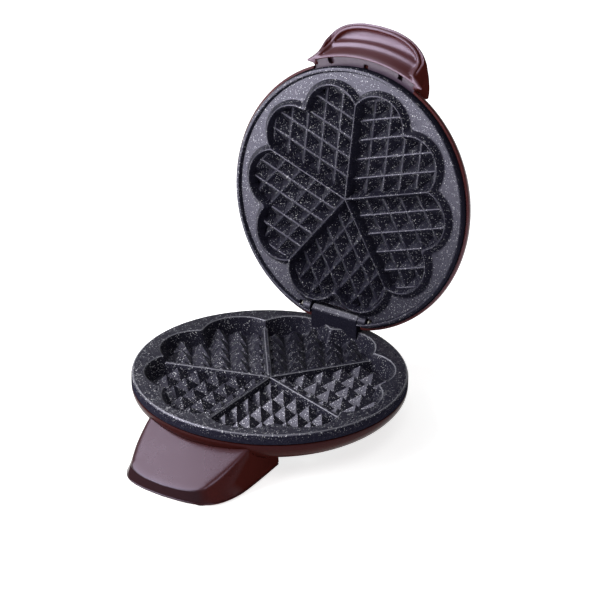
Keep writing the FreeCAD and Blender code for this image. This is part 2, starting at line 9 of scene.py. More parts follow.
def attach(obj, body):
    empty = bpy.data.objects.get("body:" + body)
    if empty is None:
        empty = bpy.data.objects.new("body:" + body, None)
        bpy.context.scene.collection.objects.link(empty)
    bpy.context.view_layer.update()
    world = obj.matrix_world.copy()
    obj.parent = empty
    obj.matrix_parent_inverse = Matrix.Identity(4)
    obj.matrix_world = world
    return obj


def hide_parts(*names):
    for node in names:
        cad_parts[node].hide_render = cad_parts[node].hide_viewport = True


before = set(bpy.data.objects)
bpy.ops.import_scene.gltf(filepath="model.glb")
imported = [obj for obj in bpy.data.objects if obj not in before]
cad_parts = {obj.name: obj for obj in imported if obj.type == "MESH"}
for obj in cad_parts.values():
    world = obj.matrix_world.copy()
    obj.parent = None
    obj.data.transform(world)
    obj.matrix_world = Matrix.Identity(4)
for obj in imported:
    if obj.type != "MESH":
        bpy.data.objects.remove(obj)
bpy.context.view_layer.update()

# All lengths below are millimetres about the axis of the round plates, with
# the lid shut; put() opens the lid and turns them into metres of the frame.
MM = 0.001
DY = -3.35
RIM = 44.3
HY, HZ = 92.45, 53.9
TH = math.radians(99.2)
C, S = math.cos(TH), math.sin(TH)
S36, C36 = math.sin(math.radians(36)), math.cos(math.radians(36))
random.seed(7)


def put(v, lid):
    x, y, z = v
    if lid:
        y, z = y - HY, z - HZ
        y, z = HY + y * C + z * S, HZ - y * S + z * C
    return (x * MM, (y + DY) * MM, z * MM)


def lerp_table(table, x):
    if x <= table[0][0]:
        return table[0][1]
    for (x0, y0), (x1, y1) in zip(table, table[1:]):
        if x <= x1:
            return y0 + (y1 - y0) * (x - x0) / (x1 - x0)
    return table[-1][1]


def smin(a, b, k):
    h = max(k - abs(a - b), 0.0) / k
    return min(a, b) - h * h * k / 4


def catmull(pts, n):
    out = []
    for i in range(len(pts) - 1):
        p0 = pts[max(i - 1, 0)]
        p1, p2 = pts[i], pts[i + 1]
        p3 = pts[min(i + 2, len(pts) - 1)]
        for k in range(n):
            t = k / n
            out.append(tuple(
                0.5 * (2 * b + (c - a) * t + (2 * a - 5 * b + 4 * c - d) * t * t
                       + (3 * b - a - 3 * c + d) * t ** 3)
                for a, b, c, d in zip(p0, p1, p2, p3)))
    out.append(tuple(pts[-1]))
    return out


# ------------------------------------------------------------------ materials

def new_mat(name):
    mat = bpy.data.materials.new(name)
    mat.use_nodes = True
    nt = mat.node_tree
    bsdf = nt.nodes["Principled BSDF"]
    tc = nt.nodes.new("ShaderNodeTexCoord")
    return mat, nt, bsdf, tc.outputs["Object"]


def noise(nt, vec, scale, detail=3.0, rough=0.55):
    n = nt.nodes.new("ShaderNodeTexNoise")
    n.inputs["Scale"].default_value = scale
    n.inputs["Detail"].default_value = detail
    n.inputs["Roughness"].default_value = rough
    nt.links.new(vec, n.inputs["Vector"])
    return n.outputs["Fac"]


def ramp(nt, fac, stops):
    r = nt.nodes.new("ShaderNodeValToRGB")
    els = r.color_ramp.elements
    while len(els) < len(stops):
        els.new(0.5)
    for el, (pos, col) in zip(els, stops):
        el.position = pos
        el.color = (*col, 1.0)
    nt.links.new(fac, r.inputs["Fac"])
    return r.outputs["Color"]


def remap(nt, fac, lo, hi, a=0.3, b=0.7):
    m = nt.nodes.new("ShaderNodeMapRange")
    m.inputs["From Min"].default_value = a
    m.inputs["From Max"].default_value = b
    m.inputs["To Min"].default_value = lo
    m.inputs["To Max"].default_value = hi
    nt.links.new(fac, m.inputs["Value"])
    return m.outputs["Result"]


def mixcol(nt, fac, a, b):
    m = nt.nodes.new("ShaderNodeMix")
    m.data_type = "RGBA"
    nt.links.new(fac, m.inputs[0])
    for sock, val in ((m.inputs[6], a), (m.inputs[7], b)):
        if isinstance(val, tuple):
            sock.default_value = (*val, 1.0)
        else:
            nt.links.new(val, sock)
    return m.outputs[2]


def math_node(nt, op, a, b):
    m = nt.nodes.new("ShaderNodeMath")
    m.operation = op
    for sock, val in zip(m.inputs, (a, b)):
        if isinstance(val, (int, float)):
            sock.default_value = val
        else:
            nt.links.new(val, sock)
    return m.outputs[0]


def bump(nt, bsdf, height, strength, distance):
    b = nt.nodes.new("ShaderNodeBump")
    b.inputs["Strength"].default_value = strength
    b.inputs["Distance"].default_value = distance
    nt.links.new(height, b.inputs["Height"])
    nt.links.new(b.outputs["Normal"], bsdf.inputs["Normal"])


def specks(nt, vec, scale, size, share, warp):
    """Irregular grains: round Voronoi cells, bent by noise, only some lit."""
    wn = nt.nodes.new("ShaderNodeTexNoise")
    wn.inputs["Scale"].default_value = scale * 1.7
    wn.inputs["Detail"].default_value = 2.0
    nt.links.new(vec, wn.inputs["Vector"])
    ad = nt.nodes.new("ShaderNodeVectorMath")
    ad.operation = "MULTIPLY_ADD"
    ad.inputs[1].default_value = (warp,) * 3
    nt.links.new(wn.outputs["Color"], ad.inputs[0])
    nt.links.new(vec, ad.inputs[2])
    vo = nt.nodes.new("ShaderNodeTexVoronoi")
    vo.inputs["Scale"].default_value = scale
    nt.links.new(ad.outputs[0], vo.inputs["Vector"])
    sep = nt.nodes.new("ShaderNodeSeparateColor")
    nt.links.new(vo.outputs["Color"], sep.inputs[0])
    lit = math_node(nt, "GREATER_THAN", sep.outputs[0], 1.0 - share)
    grow = math_node(nt, "MULTIPLY", sep.outputs[1], size)
    near = math_node(nt, "LESS_THAN", vo.outputs["Distance"], grow)
    return math_node(nt, "MULTIPLY", lit, near)


# How far a face turns towards `lean`, remapped. Used to paint sheen, highlight and shade by face direction.
def facing(nt, lean, low, high, a=0.25, b=0.85):
    dot = nt.nodes.new("ShaderNodeVectorMath")
    dot.operation = "DOT_PRODUCT"
    dot.inputs[1].default_value = lean
    geo = nt.nodes.new("ShaderNodeTexCoord")
    nt.links.new(geo.outputs["Normal"], dot.inputs[0])
    return remap(nt, dot.outputs["Value"], low, high, a, b)


def fade(nt, vec, way, lo, hi, dim):
    """Painted sheen that thins out along one direction of the piece, standing in for light falling from one side."""
    dot = nt.nodes.new("ShaderNodeVectorMath")
    dot.operation = "DOT_PRODUCT"
    dot.inputs[1].default_value = way
    nt.links.new(vec, dot.inputs[0])
    return remap(nt, dot.outputs["Value"], dim, 1.0, lo, hi)


def coating(name, lean, low, high, span, way, lo, hi, dim, fine_grain_lit_grey, bright, edge_highlight):
    mat, nt, bsdf, vec = new_mat(name)
    cloud = noise(nt, vec, 900, 4)
    base = ramp(nt, cloud, [(0.3, (0.006, 0.006, 0.011)), (0.7, (0.016, 0.015, 0.026))])
    dust = specks(nt, vec, 1700, 0.50, 0.45, 0.0003)
    small = specks(nt, vec, 1250, 0.47, 0.36, 0.0003)
    big = specks(nt, vec, 720, 0.27, 0.12, 0.0007)
    # Painted light: the specks show fully only on faces turned towards `lean`, and they fade along `way`, as if light
    # fell from that side.
    painted_speck_light = math_node(nt, "MULTIPLY", fade(nt, vec, way, lo, hi, 0.48), facing(nt, lean, 0.03, 1.0, 0.05, 0.45))
    c1 = mixcol(nt, math_node(nt, "MULTIPLY", dust, painted_speck_light), base, (fine_grain_lit_grey, fine_grain_lit_grey, fine_grain_lit_grey * 1.3))
    c2 = mixcol(nt, math_node(nt, "MULTIPLY", small, painted_speck_light), c1, (0.46 * bright, 0.46 * bright, 0.49 * bright))
    c3 = mixcol(nt, math_node(nt, "MULTIPLY", big, painted_speck_light), c2, (0.85, 0.85, 0.85))
    # Painted highlight: faces tilted a little from `lean` are lightened to grey (0.30, 0.30, 0.34) as a painted edge
    # highlight. These are the rounded tops of the walls and ribs.
    if edge_highlight:
        edges = math_node(nt, "MULTIPLY", facing(nt, lean, 0.0, edge_highlight, 0.67, 0.75), facing(nt, lean, 1.0, 0.0, 0.93, 0.97))
        c3 = mixcol(nt, edges, c3, (0.30, 0.30, 0.34))
    nt.links.new(c3, bsdf.inputs["Base Color"])
    nt.links.new(remap(nt, noise(nt, vec, 350, 3), 0.26, 0.36), bsdf.inputs["Roughness"])
    # Painted sheen: the specular level follows face direction and fades along `way`, standing in for the studio light.
    sheen = math_node(nt, "MULTIPLY", facing(nt, lean, low, high, *span), fade(nt, vec, way, lo, hi, dim))
    nt.links.new(sheen, bsdf.inputs["Specular IOR Level"])
    bsdf.inputs["Specular Tint"].default_value = (0.82, 0.79, 1.0, 1.0)
    bump(nt, bsdf, noise(nt, vec, 1500, 3), 0.3, 0.0002)
    return mat


def housing(name, lean, low, high, shade_tone=1.0, rough=(0.22, 0.26), gloss=0.25, front=None):
    """Dark red-brown lacquer over fine flake, with a painted sheen (specular and coat) on faces turned towards `lean`.
    A tone factor darkens a copy as painted shade, and faces turned towards `front` are darkened as painted shade.
    """
    mat, nt, bsdf, vec = new_mat(name)
    flake = specks(nt, vec, 2600, 0.5, 0.25, 0.0002)
    # The tone factor darkens this copy of the lacquer as painted shade.
    dark = tuple(c * shade_tone for c in (0.058, 0.011, 0.009))
    light = tuple(c * shade_tone for c in (0.066, 0.0125, 0.0105))
    tone = ramp(nt, noise(nt, vec, 1400, 2), [(0.3, dark), (0.7, light)])
    tone = mixcol(nt, flake, tone, tuple(c * shade_tone for c in (0.070, 0.015, 0.013)))
    # Painted shade: faces turned towards `front` are darkened to near black (0.013, 0.009, 0.012).
    if front:
        tone = mixcol(nt, facing(nt, front, 0.0, 0.8, 0.3, 0.8), tone, (0.013, 0.009, 0.012))
    nt.links.new(tone, bsdf.inputs["Base Color"])
    nt.links.new(remap(nt, noise(nt, vec, 40, 3), rough[0], rough[1]), bsdf.inputs["Roughness"])
    bsdf.inputs["Specular Tint"].default_value = (0.80, 0.71, 1.0, 1.0)
    bsdf.inputs["Coat Roughness"].default_value = 0.12
    # Painted sheen: specular level and coat weight follow how far a face turns towards `lean`.
    nt.links.new(facing(nt, lean, low, high), bsdf.inputs["Specular IOR Level"])
    nt.links.new(facing(nt, lean, low * gloss, high * gloss), bsdf.inputs["Coat Weight"])
    bump(nt, bsdf, noise(nt, vec, 3000, 2), 0.02, 0.0001)
    return mat


def plain(name, dark, light, scale, rough, metallic=0.0, coat=0.0, bumpy=0.1, fine=None, spec=0.5):
    mat, nt, bsdf, vec = new_mat(name)
    nt.links.new(ramp(nt, noise(nt, vec, scale, 4), [(0.3, dark), (0.7, light)]), bsdf.inputs["Base Color"])
    nt.links.new(remap(nt, noise(nt, vec, scale * 2.3, 3), rough[0], rough[1]), bsdf.inputs["Roughness"])
    bsdf.inputs["Metallic"].default_value = metallic
    bsdf.inputs["Coat Weight"].default_value = coat
    bsdf.inputs["Specular IOR Level"].default_value = spec
    bump(nt, bsdf, noise(nt, vec, fine or scale * 4, 3), bumpy, 0.0003)
    return mat


MATS = {
    # The lower-plate and lid coatings are one coating in two lit copies. They differ in painted sheen direction and
    # fade, and in the greys of the fine grains and specks, which are brighter on the lower plate as painted light. They
    # also differ in the painted edge highlight, which only the lower plate has.
    "coating": coating("granite_coating_low", (0.0, 0.0, 1.0), 0.0, 0.95, (0.25, 0.85), (-0.35, -0.94, 0.0), -0.07, 0.07, 0.40, 0.10, 1.6, 0.45),
    "coating_lid": coating("granite_coating_lid", (-0.30, -0.93, 0.21), 0.0, 0.95, (0.50, 0.93), (-0.6, 0.0, 0.8), 0.0, 0.22, 0.15, 0.04, 0.9, 0.0),
    # The four lacquer entries are one lacquer in lit and shaded copies. Bowl and base are darkened as painted shade
    # (tone 0.42 and 0.66), and the base also darkens its front faces as painted shade. Each copy turns its painted
    # sheen a different way.
    "housing_bowl": housing("brown_lacquer_bowl", (0.0, -0.2, -0.98), 0.05, 0.0, 0.42),
    "housing": housing("brown_lacquer_base", (0.05, 0.05, 0.997), 0.0, 0.72, 0.66, (0.26, 0.30), 0.08, (-0.25, -0.97, 0.0)),
    "housing_lid": housing("brown_lacquer_lid", (-0.40, -0.80, 0.45), 0.0, 1.45, 1.0, (0.40, 0.46), 0.12),
    "housing_dome": housing("brown_lacquer_dome", (0.0, 0.9, 0.4), 0.25, 0.45, 1.0, (0.24, 0.30), 0.3),
    "panel": plain("panel_plastic", (0.056, 0.032, 0.060), (0.070, 0.042, 0.074), 300, (0.30, 0.40), 0.0, 0.0, 0.06, spec=0.5),
    "underside": plain("dark_moulding", (0.018, 0.014, 0.015), (0.030, 0.024, 0.025), 260, (0.45, 0.6), 0.0, 0.0, 0.3, 1600),
    "steel": plain("zinced_steel", (0.42, 0.42, 0.43), (0.56, 0.56, 0.57), 400, (0.25, 0.4), 1.0, 0.0, 0.12),
    "rubber": plain("black_rubber", (0.012, 0.012, 0.013), (0.024, 0.024, 0.025), 500, (0.7, 0.85), 0.0, 0.0, 0.35, 2200),
    "element": plain("sheathed_element", (0.10, 0.095, 0.09), (0.19, 0.18, 0.17), 350, (0.45, 0.6), 0.9, 0.0, 0.3),
    "reflector": plain("aluminised_sheet", (0.55, 0.56, 0.57), (0.68, 0.69, 0.70), 220, (0.2, 0.35), 1.0, 0.0, 0.1),
    "control": plain("phenolic_black", (0.02, 0.016, 0.014), (0.04, 0.032, 0.028), 420, (0.35, 0.5), 0.0, 0.0, 0.2),
    "terminal": plain("ceramic_white", (0.66, 0.64, 0.60), (0.76, 0.74, 0.70), 380, (0.4, 0.55), 0.0, 0.1, 0.15),
    "lead": plain("sleeved_lead", (0.60, 0.58, 0.54), (0.72, 0.70, 0.66), 900, (0.6, 0.75), 0.0, 0.0, 0.5, 2600),
    "lens": plain("amber_lens", (0.50, 0.16, 0.03), (0.60, 0.22, 0.05), 260, (0.08, 0.16), 0.0, 0.6, 0.05),
    "board": plain("lamp_board", (0.02, 0.10, 0.05), (0.03, 0.14, 0.07), 500, (0.4, 0.55), 0.0, 0.2, 0.15),
}

# --------------------------------------------------------------- mesh helpers


def finish_mesh(name, verts, faces, body, slot, lid, nodes=(), angle=32, cutters=(), weld=2e-6, look=None):
    mesh = bpy.data.meshes.new(name)
    mesh.from_pydata([put(v, lid) for v in verts], [], [tuple(f) for f in faces])
    bm = bmesh.new()
    bm.from_mesh(mesh)
    bmesh.ops.remove_doubles(bm, verts=bm.verts, dist=weld)
    bmesh.ops.dissolve_degenerate(bm, dist=1e-7, edges=bm.edges)
    loose = [v for v in bm.verts if not v.link_faces]
    bmesh.ops.delete(bm, geom=loose, context="VERTS")
    bmesh.ops.recalc_face_normals(bm, faces=bm.faces)
    bm.to_mesh(mesh)
    bm.free()
    obj = bpy.data.objects.new(name, mesh)
    bpy.context.scene.collection.objects.link(obj)
    for cv, cf in cutters:
        cut_boolean(obj, cv, cf, lid)
    if cutters:
        bm = bmesh.new()
        bm.from_mesh(obj.data)
        bmesh.ops.dissolve_degenerate(bm, dist=3e-6, edges=bm.edges)
        loose = [v for v in bm.verts if not v.link_faces]
        bmesh.ops.delete(bm, geom=loose, context="VERTS")
        bm.to_mesh(obj.data)
        bm.free()
    obj.data.shade_smooth()
    obj.data.set_sharp_from_angle(angle=math.radians(angle))
    obj.data.materials.clear()
    obj.data.materials.append(MATS[look or slot])
    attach(obj, body)
    if nodes:
        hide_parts(*nodes)
    return obj


def cut_boolean(obj, verts, faces, lid):
    cm = bpy.data.meshes.new("cutter")
    cm.from_pydata([put(v, lid) for v in verts], [], [tuple(f) for f in faces])
    bm = bmesh.new()
    bm.from_mesh(cm)
    bmesh.ops.recalc_face_normals(bm, faces=bm.faces)
    bm.to_mesh(cm)
    bm.free()
    co = bpy.data.objects.new("cutter", cm)
    bpy.context.scene.collection.objects.link(co)
    mod = obj.modifiers.new("cut", "BOOLEAN")
    mod.operation = "DIFFERENCE"
    mod.solver = "EXACT"
    mod.object = co
    dg = bpy.context.evaluated_depsgraph_get()
    done = bpy.data.meshes.new_from_object(obj.evaluated_get(dg))
    obj.modifiers.clear()
    old = obj.data
    obj.data = done
    done.name = old.name + "_cut"
    bpy.data.meshes.remove(old)
    bpy.data.objects.remove(co)
    bpy.data.meshes.remove(cm)


def revolve(profile, seg, clamp_y=None, cap=102.99):
    """Closed solid of revolution from a closed (r, z) loop; r = 0 becomes a pole."""
    verts, faces, rings = [], [], []
    for k, (r, z) in enumerate(profile):
        r = min(r, cap)
        if r < 1e-6:
            rings.append([len(verts)])
            verts.append((0.0, 0.0, z))
            continue
        ring = []
        for i in range(seg):
            a = 2 * math.pi * i / seg
            x, y = r * math.sin(a), r * math.cos(a)
            if clamp_y is not None:
                y = min(y, clamp_y[k] if isinstance(clamp_y, list) else clamp_y)
            ring.append(len(verts))
            verts.append((x, y, z))
        rings.append(ring)
    n = len(rings)
    for k in range(n):
        a, b = rings[k], rings[(k + 1) % n]
        if len(a) == 1 and len(b) == 1:
            continue
        for i in range(seg):
            j = (i + 1) % seg
            if len(a) == 1:
                faces.append((a[0], b[i], b[j]))
            elif len(b) == 1:
                faces.append((a[i], b[0], a[j]))
            else:
                faces.append((a[i], b[i], b[j], a[j]))
    return verts, faces


def prism_x(profile, x0, x1, inset=0.6):
    """Solid along x from a closed (y, z) profile, with small end chamfers."""
    cy = sum(p[0] for p in profile) / len(profile)
    cz = sum(p[1] for p in profile) / len(profile)
    verts, faces = [], []
    n = len(profile)
    rows = [(x0, inset), (x0 + inset, 0.0), (x1 - inset, 0.0), (x1, inset)] if inset else [(x0, 0.0), (x1, 0.0)]
    for x, d in rows:
        for y, z in profile:
            L = math.hypot(y - cy, z - cz)
            f = (L - d) / L
            verts.append((x, cy + (y - cy) * f, cz + (z - cz) * f))
    for r in range(len(rows) - 1):
        for i in range(n):
            j = (i + 1) % n
            faces.append((r * n + i, r * n + j, (r + 1) * n + j, (r + 1) * n + i))
    faces.append(tuple(range(n)))
    faces.append(tuple((len(rows) - 1) * n + i for i in range(n)))
    return verts, faces


def box(x0, x1, y0, y1, z0, z1):
    return prism_x([(y0, z0), (y1, z0), (y1, z1), (y0, z1)], x0, x1, 0)


def join(*parts):
    verts, faces = [], []
    for v, f in parts:
        o = len(verts)
        verts.extend(v)
        faces.extend(tuple(i + o for i in g) for g in f)
    return verts, faces


# --------------------------------------------------------- the heart pattern

LOBE = (60.87, 19.78)
LOBE_R = 23.3
STEP = 14.98


def flower(p, q):
    a = math.hypot(p - LOBE[0], q - LOBE[1]) - LOBE_R
    b = math.hypot(p - LOBE[0], q + LOBE[1]) - LOBE_R
    return min(smin(a, b, 4.0), math.hypot(p, q) - 61.0)


def edge(p, q):
    return p * S36 - q * C36


def cell(p, q):
    u = (p / C36 - q / S36) / 2 / STEP
    v = (p / C36 + q / S36) / 2 / STEP
    a = abs(2 * (u - math.floor(u)) - 1)
    b = abs(2 * (v - math.floor(v)) - 1)
    return max(a, b)


def offset_curve(c, n=49):
    pts = []
    for i in range(n):
        t = math.radians(36) * i / (n - 1)
        lo, hi = 30.0, 101.0
        for _ in range(40):
            m = (lo + hi) / 2
            if flower(m * math.cos(t), m * math.sin(t)) < c:
                lo = m
            else:
                hi = m
        pts.append((lo * math.cos(t), lo * math.sin(t)))
    return pts


def clipped(a, b, inside, step=0.25):
    """Pieces of the straight line a-b for which inside() holds."""
    n = max(2, int(math.hypot(b[0] - a[0], b[1] - a[1]) / step))
    at = lambda t: (a[0] + (b[0] - a[0]) * t, a[1] + (b[1] - a[1]) * t)
    out, run = [], None
    prev = None
    for i in range(n + 1):
        t = i / n
        ok = inside(*at(t))
        if prev is not None and ok != prev[1]:
            lo, hi = prev[0], t
            for _ in range(30):
                m = (lo + hi) / 2
                if inside(*at(m)) == prev[1]:
                    lo = m
                else:
                    hi = m
            if ok:
                run = hi
            else:
                out.append((at(run), at(lo)))
                run = None
        elif prev is None and ok:
            run = t
        prev = (t, ok)
    if run is not None:
        out.append((at(run), at(1.0)))
    return [s for s in out if math.hypot(s[0][0] - s[1][0], s[0][1] - s[1][1]) > 0.3]


def wedge(rings, curves, dotted, lines, dots, rmax, zf):
    """Triangles of one half heart sector with creases, repeated all round."""
    vs, es = [], []
    arc_n = 18

    axis, side = {0.0, rmax}, {0.0, rmax}

    def snap(pt):
        p, q = pt
        r = math.hypot(p, q)
        if abs(q) < 3e-3:
            axis.add(round(p, 4))
            return (round(p, 4), 0.0)
        if abs(edge(p, q)) < 3e-3:
            r = round(r, 4)
            side.add(r)
            return (r * C36, r * S36)
        return (p, q)

    def poly(pts):
        o = len(vs)
        vs.extend(Vector(snap(p)) for p in pts)
        es.extend((o + i, o + i + 1) for i in range(len(pts) - 1))

    def arc(r):
        return [(r * math.cos(math.radians(2 * i)), r * math.sin(math.radians(2 * i))) for i in range(arc_n + 1)]

    for r in list(rings) + [rmax]:
        poly(arc(r))
    for c in curves:
        poly(offset_curve(c))
    for c in dotted:
        row = offset_curve(c, 61)
        vs.extend(Vector(p) for p in row[1:-1])
        snap(row[0])
        snap(row[-1])
    for a, b in lines:
        poly([a, b])
    vs.extend(Vector(p) for p in dots)
    for t in range(1, 80):
        side.add(t * 1.0)

    def tidy(vals):
        out = []
        for v in sorted(vals):
            if not out or v - out[-1] > 2e-3:
                out.append(v)
        return out

    for vals, (cx, cy) in ((tidy(axis), (1.0, 0.0)), (tidy(side), (C36, S36))):
        o = len(vs)
        vs.extend(Vector((v * cx, v * cy)) for v in vals)
        es.extend((o + i, o + i + 1) for i in range(len(vals) - 1))
    v2, _, f2, _, _, _ = delaunay_2d_cdt(vs, es, [], 1, 1.5e-3)
    verts, faces = [], []
    for k in range(5):
        A = math.radians(72 * k)
        for sgn in (1, -1):
            o = len(verts)
            for w in v2:
                p, q = w.x, w.y * sgn
                verts.append((p * math.sin(A) + q * math.cos(A), p * math.cos(A) - q * math.sin(A), zf(w.x, w.y)))
            for f in f2:
                g = tuple(o + i for i in f)
                faces.append(g if sgn > 0 else g[::-1])
    return verts, faces


def skirt(rows, seg=180):
    verts, faces = [], []
    rings = []
    for r, z in rows:
        if r < 1e-6:
            rings.append([len(verts)])
            verts.append((0, 0, z))
        else:
            rings.append(list(range(len(verts), len(verts) + seg)))
            verts.extend((r * math.sin(math.radians(2 * i)), r * math.cos(math.radians(2 * i)), z) for i in range(seg))
    for a, b in zip(rings, rings[1:]):
        for i in range(seg):
            j = (i + 1) % seg
            if len(b) == 1:
                faces.append((a[i], b[0], a[j]))
            else:
                faces.append((a[i], b[i], b[j], a[j]))
    return verts, faces


def in_half(p, q):
    return q > 1e-6 and edge(p, q) > 1e-6


def heart_lines(inside, extra=()):
    segs = []
    w1, w2 = (C36, -S36), (C36, S36)
    for i in range(0, 7):
        for off in (0.0,) + tuple(extra):
            for sg in ((1,) if off == 0 else (1, -1)):
                k = (i + sg * off) * STEP
                if k < 0.4:
                    continue
                a = (k * w1[0], k * w1[1])
                segs += clipped(a, (a[0] + 110 * w2[0], a[1] + 110 * w2[1]), inside)
                a = (k * w2[0], k * w2[1])
                segs += clipped(a, (a[0] + 110 * w1[0], a[1] + 110 * w1[1]), inside)
    for k in range(1, 6):
        q = k * STEP * S36
        segs += clipped((0, q), (100, q), inside)
    for k in range(1, 9):
        p = k * STEP * C36
        segs += clipped((p, 0.0), (p, 70), inside)
    return segs


def divider_dots(offsets, length, gap=1.3):
    pts = []
    n = int(length / gap)
    for e in offsets:
        for i in range(1, n):
            t = length * i / n
            p, q = t * C36 + e * S36, t * S36 - e * C36
            if q > 0.1:
                pts.append((p, q))
    return pts


def wall_dots(lo, hi, emin, gap=1.15):
    pts = []
    for i in range(int(92 / gap)):
        for j in range(int(46 / gap)):
            p = i * gap + (j % 2) * gap / 2 + 0.21
            q = j * gap * 0.87 + 0.33
            if q > 0.3 and lo < flower(p, q) < hi and edge(p, q) > emin:
                pts.append((p, q))
    return pts


def divider_lines(offsets, length):
    segs = []
    for e in offsets:
        a = (e * S36, -e * C36)
        segs += clipped(a, (a[0] + length * C36, a[1] + length * S36), in_half)
    return segs


def soft(x, slope, b):
    """Ramp that starts at zero, falls with the slope and has a rounded start."""
    if x < -b:
        return 0.0
    if x < b:
        return -slope * (x + b) ** 2 / (4 * b)
    return -slope * x


# lower plate ---------------------------------------------------------------

FLOOR = -13.5


def low_z(p, q):
    R = math.hypot(p, q)
    if R > 100.6:
        return RIM - (2.4 - math.sqrt(max(0.0, 2.4 ** 2 - (R - 100.6) ** 2)))
    d = flower(p, q)
    if d > 7.2:
        return RIM
    wall = soft(6.0 - d, 2.8, 0.8)
    rib = -5.0 + soft(edge(p, q) - 1.5, 3.0, 0.6)
    i, j = (p / C36 - q / S36) / 2 // STEP, (p / C36 + q / S36) / 2 // STEP
    pyr = FLOOR + 8.6 * (1 - cell(p, q)) if max(i, j) <= 4 and (i + j <= 5 or abs(i - j) == 2) and i + j <= 6 else FLOOR
    return RIM + max(wall, rib, pyr, FLOOR)


def build_lower():
    inside = lambda p, q: in_half(p, q) and flower(p, q) < 1.1 and edge(p, q) > 2.6
    v, f = wedge([100.6, 101.4, 102.1, 102.6], [6.8, 6.0, 5.2, 1.18], [4.5, 3.8, 3.2, 2.5, 1.8],
                 heart_lines(inside) + divider_lines([0.9, 1.5, 2.1, 4.3], 80),
                 divider_dots([0.45, 2.8, 3.5], 79) + wall_dots(-6.4, 0.9, 3.8, 1.0), 103.0, low_z)
    sk = skirt([(103.0, RIM - 2.4), (103.0, RIM - 7.4), (102.5, RIM - 8.0), (99.6, RIM - 8.0), (99.4, RIM - 5.0),
                (93.5, RIM - 5.0), (93.0, RIM - 9.0), (91.0, RIM - 14.0), (90.8, RIM - 17.5), (0, RIM - 17.5)])
    kn = prism_x([(87.7, 39.4), (87.7, 53.9), (88.1, 54.9), (90.3, 57.2), (91.2, 57.6), (94.6, 57.6), (95.9, 57.0),
                  (96.8, 55.6), (96.8, 39.4)], -20.4, 20.4, 0.5)
    return finish_mesh("lower_plate_finish", *join((v, f), sk, kn), "base", "coating", False, ["lower_plate"], 17, weld=6e-6)


# upper plate ---------------------------------------------------------------

UP_WALL = [(-2.6, 7.6), (-0.85, 2.75), (-0.45, 2.15), (-0.05, 1.95), (0.35, 2.05), (0.75, 2.45), (3.3, 6.1), (3.9, 6.75), (4.7, 7.0)]
UP_LIP = [(95.0, 7.0), (96.0, 6.85), (96.9, 4.7), (97.3, 4.2), (97.9, 4.0), (98.8, 4.0), (99.5, 4.3), (100.0, 5.1)]
UP_RIB = [(0.0, 1.95), (0.35, 2.05), (0.75, 2.55), (2.9, 7.6)]


def up_z(p, q):
    R = math.hypot(p, q)
    if R > 95.0:
        return RIM + lerp_table(UP_LIP, R)
    d = flower(p, q)
    wall = 99.0 if d < -2.6 else lerp_table(UP_WALL, d)
    if d > 0.0:
        return RIM + wall
    e = edge(p, q)
    rib = 99.0 if e > 2.9 else lerp_table(UP_RIB, e)
    m = cell(p, q)
    pit = 7.3 + 0.25 * (1 - m) / 0.09 if m > 0.91 else 7.55 + 7.4 * (1 - m / 0.91)
    return RIM + min(wall, rib, pit)


def rod(r, x0, x1):
    turn = [math.radians(15 * i) for i in range(24)]
    return prism_x([(HY + r * math.cos(t), HZ + r * math.sin(t)) for t in turn], x0, x1, 0)


def build_upper():
    inside = lambda p, q: in_half(p, q) and flower(p, q) < -0.9 and edge(p, q) > 0.8
    curves = [4.7, 3.9, 3.3, 0.75, 0.35, -0.05, -0.45, -0.85, -2.6]
    v, f = wedge([95.0, 96.0, 96.9, 97.3, 97.9, 98.8, 99.5], curves, [2.6, 1.9, 1.3, -1.4, -2.0],
                 heart_lines(inside, (0.045,)) + divider_lines([0.35, 0.75, 2.9], 76),
                 divider_dots([1.4, 2.1], 74) + wall_dots(-5.2, -2.8, 3.1), 100.0, up_z)
    sk = skirt([(100.0, RIM + 5.1), (100.4, RIM + 6.3), (100.4, RIM + 10.4), (99.8, RIM + 11.0), (90.2, RIM + 11.0), (89.5, RIM + 18.6), (0, RIM + 18.6)])
    arcp = [(HY + 8.9 * math.sin(math.radians(t)), HZ - 8.9 * math.cos(math.radians(t))) for t in range(0, 22, 3)]
    trim = prism_x([(HY, RIM - 6)] + arcp + [(95.7, RIM + 30), (120, RIM + 30), (120, RIM - 6)], -60, 60, 0)
    notch = box(-21.2, 21.2, 86.0, 125.0, RIM - 6, RIM + 30)
    obj = finish_mesh("upper_plate_finish", *join((v, f), sk), "lid", "coating", True, ["upper_plate"], 17,
                      [notch, trim, rod(2.25, -34.0, 34.0), rod(4.4, -32.6, -28.2), rod(4.4, 28.2, 32.6)], weld=6e-6, look="coating_lid")
    return obj


def build_ears():
    prof = []
    for i in range(32):
        t = 2 * math.pi * i / 32
        prof.append((min(HY + 5.6 * math.cos(t), 95.7), HZ + 5.6 * math.sin(t)))
    a = prism_x(prof, 21.25, 28.2, 0.5)
    b = prism_x(prof, -28.2, -21.25, 0.5)
    return finish_mesh("hinge_ears_finish", *join(a, b), "lid", "coating", True, (), 30, [rod(2.25, -30.0, 30.0)], look="coating_lid")


# shells --------------------------------------------------------------------

def build_base_shell():
    outer = catmull([(103.0, -9.2), (102.95, -10.4), (102.4, -12.8), (101.0, -15.4), (98.6, -18.3), (94.8, -21.6),
                     (88.4, -25.7), (80.0, -29.4), (70.5, -32.3), (64.0, -33.0)], 4)
    loop = [(101.2, -8.45), (102.5, -8.45), (102.85, -8.7)] + outer + [(58.0, -33.0), (58.0, -31.0), (64.0, -31.0), (70.0, -30.3),
            (79.2, -27.4), (87.3, -23.8), (93.4, -19.9), (97.0, -16.9), (99.2, -14.3), (100.5, -11.8), (101.0, -10.0)]
    v, f = revolve([(r, RIM + z) for r, z in loop], 192)
    return finish_mesh("base_shell_finish", v, f, "base", "housing", False, ["base_shell"], 35, look="housing_bowl")


